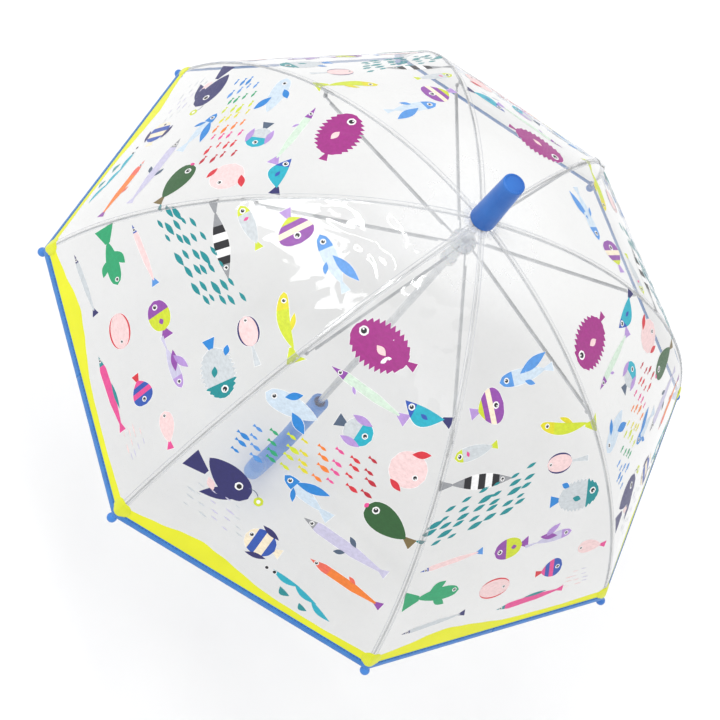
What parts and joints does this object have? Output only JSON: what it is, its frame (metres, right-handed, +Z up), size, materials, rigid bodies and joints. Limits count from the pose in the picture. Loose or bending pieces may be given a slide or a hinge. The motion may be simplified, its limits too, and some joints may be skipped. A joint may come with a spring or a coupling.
{
  "type": "children's umbrella",
  "caption": "Child's dome umbrella with clear printed film over wire ribs, a sliding runner, folding stretchers, tip balls and a crook handle.",
  "frame": {"origin": "middle of the straight grip of the crook handle, on the shaft's axis", "axes": "+Z up the shaft towards the ferrule; the crook opens towards -Y; +X completes a right-handed frame"},
  "size_m": [0.7136, 0.7136, 0.6662],
  "materials": {
    "shaft_steel": "satin",
    "rib_steel": "satin",
    "stretcher_steel": "satin",
    "wire_steel": "satin",
    "ferrule_blue": "gloss",
    "handle_blue": "gloss",
    "white_nylon": "satin",
    "clear_film": "gloss",
    "white_strap": "gloss",
    "hem_tape": "matte",
    "yellow_band": "gloss",
    "film_print": "gloss"
  },
  "bodies": {
    "shaft": {"shaft": "shaft_steel", "ferrule": "ferrule_blue", "crown_notch": "white_nylon", "crown_wire": "wire_steel", "crown_patch": "clear_film", "handle": "handle_blue"},
    "top_catch": {"top_catch": "wire_steel"},
    "lower_catch": {"lower_catch": "wire_steel"},
    "runner": {"runner": "white_nylon", "runner_wire": "wire_steel"},
    "rib_inner_1": {"rib_inner_1": "rib_steel", "canopy_inner_1": "clear_film"},
    "rib_outer_1": {"rib_outer_1": "rib_steel", "canopy_outer_1": "clear_film", "tip_cap_1": "handle_blue"},
    "stretcher_1": {"stretcher_1": "stretcher_steel"},
    "rib_inner_2": {"rib_inner_2": "rib_steel", "canopy_inner_2": "clear_film"},
    "rib_outer_2": {"rib_outer_2": "rib_steel", "canopy_outer_2": "clear_film", "tip_cap_2": "handle_blue"},
    "stretcher_2": {"stretcher_2": "stretcher_steel"},
    "rib_inner_3": {"rib_inner_3": "rib_steel", "canopy_inner_3": "clear_film"},
    "rib_outer_3": {"rib_outer_3": "rib_steel", "canopy_outer_3": "clear_film", "tip_cap_3": "handle_blue"},
    "stretcher_3": {"stretcher_3": "stretcher_steel"},
    "rib_inner_4": {"rib_inner_4": "rib_steel", "canopy_inner_4": "clear_film"},
    "rib_outer_4": {"rib_outer_4": "rib_steel", "canopy_outer_4": "clear_film", "tip_cap_4": "handle_blue"},
    "stretcher_4": {"stretcher_4": "stretcher_steel"},
    "rib_inner_5": {"rib_inner_5": "rib_steel", "canopy_inner_5": "clear_film"},
    "rib_outer_5": {"rib_outer_5": "rib_steel", "canopy_outer_5": "clear_film", "tip_cap_5": "handle_blue", "tie_strap": "white_strap", "snap_button": "white_nylon"},
    "stretcher_5": {"stretcher_5": "stretcher_steel"},
    "rib_inner_6": {"rib_inner_6": "rib_steel", "canopy_inner_6": "clear_film"},
    "rib_outer_6": {"rib_outer_6": "rib_steel", "canopy_outer_6": "clear_film", "tip_cap_6": "handle_blue"},
    "stretcher_6": {"stretcher_6": "stretcher_steel"},
    "rib_inner_7": {"rib_inner_7": "rib_steel", "canopy_inner_7": "clear_film"},
    "rib_outer_7": {"rib_outer_7": "rib_steel", "canopy_outer_7": "clear_film", "tip_cap_7": "handle_blue"},
    "stretcher_7": {"stretcher_7": "stretcher_steel"},
    "rib_inner_8": {"rib_inner_8": "rib_steel", "canopy_inner_8": "clear_film"},
    "rib_outer_8": {"rib_outer_8": "rib_steel", "canopy_outer_8": "clear_film", "tip_cap_8": "handle_blue"},
    "stretcher_8": {"stretcher_8": "stretcher_steel"}
  },
  "joints": [
    {"name": "runner_slide", "type": "slide", "parent": "shaft", "child": "runner", "axis": [0, 0, -1], "range_m": [0, 0.331]},
    {"name": "rib_1_fold", "type": "hinge", "parent": "shaft", "child": "rib_inner_1", "pos_m": [-0.00096, -0.00844, 0.4985], "axis": [0.9936, -0.1132, 0], "range_deg": [0, 64.2], "deforming": ["canopy_inner_1"]},
    {"name": "rib_1_flex", "type": "hinge", "parent": "rib_inner_1", "child": "rib_outer_1", "pos_m": [-0.02309, -0.20262, 0.43781], "axis": [0.9936, -0.1132, 0], "range_deg": [-19.52, 0], "deforming": ["canopy_outer_1"]},
    {"name": "stretcher_1_fold", "type": "hinge", "parent": "runner", "child": "stretcher_1", "pos_m": [-0.00115, -0.01009, 0.459], "axis": [0.9936, -0.1132, 0], "range_deg": [-87.84, 0]},
    {"name": "rib_2_fold", "type": "hinge", "parent": "shaft", "child": "rib_inner_2", "pos_m": [0.00529, -0.00665, 0.4985], "axis": [0.7826, 0.6225, 0], "range_deg": [0, 64.2], "deforming": ["canopy_inner_2"]},
    {"name": "rib_2_flex", "type": "hinge", "parent": "rib_inner_2", "child": "rib_outer_2", "pos_m": [0.12695, -0.1596, 0.43781], "axis": [0.7826, 0.6225, 0], "range_deg": [-19.52, 0], "deforming": ["canopy_outer_2"]},
    {"name": "stretcher_2_fold", "type": "hinge", "parent": "runner", "child": "stretcher_2", "pos_m": [0.00632, -0.00795, 0.459], "axis": [0.7826, 0.6225, 0], "range_deg": [-87.84, 0]},
    {"name": "rib_3_fold", "type": "hinge", "parent": "shaft", "child": "rib_inner_3", "pos_m": [0.00844, -0.00096, 0.4985], "axis": [0.1132, 0.9936, 0], "range_deg": [0, 64.2], "deforming": ["canopy_inner_3"]},
    {"name": "rib_3_flex", "type": "hinge", "parent": "rib_inner_3", "child": "rib_outer_3", "pos_m": [0.20262, -0.02309, 0.43781], "axis": [0.1132, 0.9936, 0], "range_deg": [-19.52, 0], "deforming": ["canopy_outer_3"]},
    {"name": "stretcher_3_fold", "type": "hinge", "parent": "runner", "child": "stretcher_3", "pos_m": [0.01009, -0.00115, 0.459], "axis": [0.1132, 0.9936, 0], "range_deg": [-87.84, 0]},
    {"name": "rib_4_fold", "type": "hinge", "parent": "shaft", "child": "rib_inner_4", "pos_m": [0.00665, 0.00529, 0.4985], "axis": [-0.6225, 0.7826, 0], "range_deg": [0, 64.2], "deforming": ["canopy_inner_4"]},
    {"name": "rib_4_flex", "type": "hinge", "parent": "rib_inner_4", "child": "rib_outer_4", "pos_m": [0.1596, 0.12695, 0.43781], "axis": [-0.6225, 0.7826, 0], "range_deg": [-19.52, 0], "deforming": ["canopy_outer_4"]},
    {"name": "stretcher_4_fold", "type": "hinge", "parent": "runner", "child": "stretcher_4", "pos_m": [0.00795, 0.00632, 0.459], "axis": [-0.6225, 0.7826, 0], "range_deg": [-87.84, 0]},
    {"name": "rib_5_fold", "type": "hinge", "parent": "shaft", "child": "rib_inner_5", "pos_m": [0.00096, 0.00844, 0.4985], "axis": [-0.9936, 0.1132, 0], "range_deg": [0, 64.2], "deforming": ["canopy_inner_5"]},
    {"name": "rib_5_flex", "type": "hinge", "parent": "rib_inner_5", "child": "rib_outer_5", "pos_m": [0.02309, 0.20262, 0.43781], "axis": [-0.9936, 0.1132, 0], "range_deg": [-19.52, 0], "deforming": ["canopy_outer_5"]},
    {"name": "stretcher_5_fold", "type": "hinge", "parent": "runner", "child": "stretcher_5", "pos_m": [0.00115, 0.01009, 0.459], "axis": [-0.9936, 0.1132, 0], "range_deg": [-87.84, 0]},
    {"name": "rib_6_fold", "type": "hinge", "parent": "shaft", "child": "rib_inner_6", "pos_m": [-0.00529, 0.00665, 0.4985], "axis": [-0.7826, -0.6225, 0], "range_deg": [0, 64.2], "deforming": ["canopy_inner_6"]},
    {"name": "rib_6_flex", "type": "hinge", "parent": "rib_inner_6", "child": "rib_outer_6", "pos_m": [-0.12695, 0.1596, 0.43781], "axis": [-0.7826, -0.6225, 0], "range_deg": [-19.52, 0], "deforming": ["canopy_outer_6"]},
    {"name": "stretcher_6_fold", "type": "hinge", "parent": "runner", "child": "stretcher_6", "pos_m": [-0.00632, 0.00795, 0.459], "axis": [-0.7826, -0.6225, 0], "range_deg": [-87.84, 0]},
    {"name": "rib_7_fold", "type": "hinge", "parent": "shaft", "child": "rib_inner_7", "pos_m": [-0.00844, 0.00096, 0.4985], "axis": [-0.1132, -0.9936, 0], "range_deg": [0, 64.2], "deforming": ["canopy_inner_7"]},
    {"name": "rib_7_flex", "type": "hinge", "parent": "rib_inner_7", "child": "rib_outer_7", "pos_m": [-0.20262, 0.02309, 0.43781], "axis": [-0.1132, -0.9936, 0], "range_deg": [-19.52, 0], "deforming": ["canopy_outer_7"]},
    {"name": "stretcher_7_fold", "type": "hinge", "parent": "runner", "child": "stretcher_7", "pos_m": [-0.01009, 0.00115, 0.459], "axis": [-0.1132, -0.9936, 0], "range_deg": [-87.84, 0]},
    {"name": "rib_8_fold", "type": "hinge", "parent": "shaft", "child": "rib_inner_8", "pos_m": [-0.00665, -0.00529, 0.4985], "axis": [0.6225, -0.7826, 0], "range_deg": [0, 64.2], "deforming": ["canopy_inner_8"]},
    {"name": "rib_8_flex", "type": "hinge", "parent": "rib_inner_8", "child": "rib_outer_8", "pos_m": [-0.1596, -0.12695, 0.43781], "axis": [0.6225, -0.7826, 0], "range_deg": [-19.52, 0], "deforming": ["canopy_outer_8"]},
    {"name": "stretcher_8_fold", "type": "hinge", "parent": "runner", "child": "stretcher_8", "pos_m": [-0.00795, -0.00632, 0.459], "axis": [0.6225, -0.7826, 0], "range_deg": [-87.84, 0]},
    {"name": "top_catch_press", "type": "hinge", "parent": "shaft", "child": "top_catch", "pos_m": [-0.00044, 0.00154, 0.4027], "axis": [0.9613, 0.2756, 0], "range_deg": [0, 8], "stiffness_Nm_per_rad": 0.3},
    {"name": "lower_catch_press", "type": "hinge", "parent": "shaft", "child": "lower_catch", "pos_m": [-0.00044, 0.00154, 0.126], "axis": [-0.9613, -0.2756, 0], "range_deg": [0, 8], "stiffness_Nm_per_rad": 0.3}
  ],
  "couplings": [
    {"joint": "rib_1_fold", "follows": "runner_slide", "rad_per_m": 3.3839},
    {"joint": "rib_1_flex", "follows": "runner_slide", "rad_per_m": -1.0283},
    {"joint": "stretcher_1_fold", "follows": "runner_slide", "rad_per_m": -4.6304},
    {"joint": "rib_2_fold", "follows": "runner_slide", "rad_per_m": 3.3839},
    {"joint": "rib_2_flex", "follows": "runner_slide", "rad_per_m": -1.0283},
    {"joint": "stretcher_2_fold", "follows": "runner_slide", "rad_per_m": -4.6304},
    {"joint": "rib_3_fold", "follows": "runner_slide", "rad_per_m": 3.3839},
    {"joint": "rib_3_flex", "follows": "runner_slide", "rad_per_m": -1.0283},
    {"joint": "stretcher_3_fold", "follows": "runner_slide", "rad_per_m": -4.6304},
    {"joint": "rib_4_fold", "follows": "runner_slide", "rad_per_m": 3.3839},
    {"joint": "rib_4_flex", "follows": "runner_slide", "rad_per_m": -1.0283},
    {"joint": "stretcher_4_fold", "follows": "runner_slide", "rad_per_m": -4.6304},
    {"joint": "rib_5_fold", "follows": "runner_slide", "rad_per_m": 3.3839},
    {"joint": "rib_5_flex", "follows": "runner_slide", "rad_per_m": -1.0283},
    {"joint": "stretcher_5_fold", "follows": "runner_slide", "rad_per_m": -4.6304},
    {"joint": "rib_6_fold", "follows": "runner_slide", "rad_per_m": 3.3839},
    {"joint": "rib_6_flex", "follows": "runner_slide", "rad_per_m": -1.0283},
    {"joint": "stretcher_6_fold", "follows": "runner_slide", "rad_per_m": -4.6304},
    {"joint": "rib_7_fold", "follows": "runner_slide", "rad_per_m": 3.3839},
    {"joint": "rib_7_flex", "follows": "runner_slide", "rad_per_m": -1.0283},
    {"joint": "stretcher_7_fold", "follows": "runner_slide", "rad_per_m": -4.6304},
    {"joint": "rib_8_fold", "follows": "runner_slide", "rad_per_m": 3.3839},
    {"joint": "rib_8_flex", "follows": "runner_slide", "rad_per_m": -1.0283},
    {"joint": "stretcher_8_fold", "follows": "runner_slide", "rad_per_m": -4.6304}
  ]
}
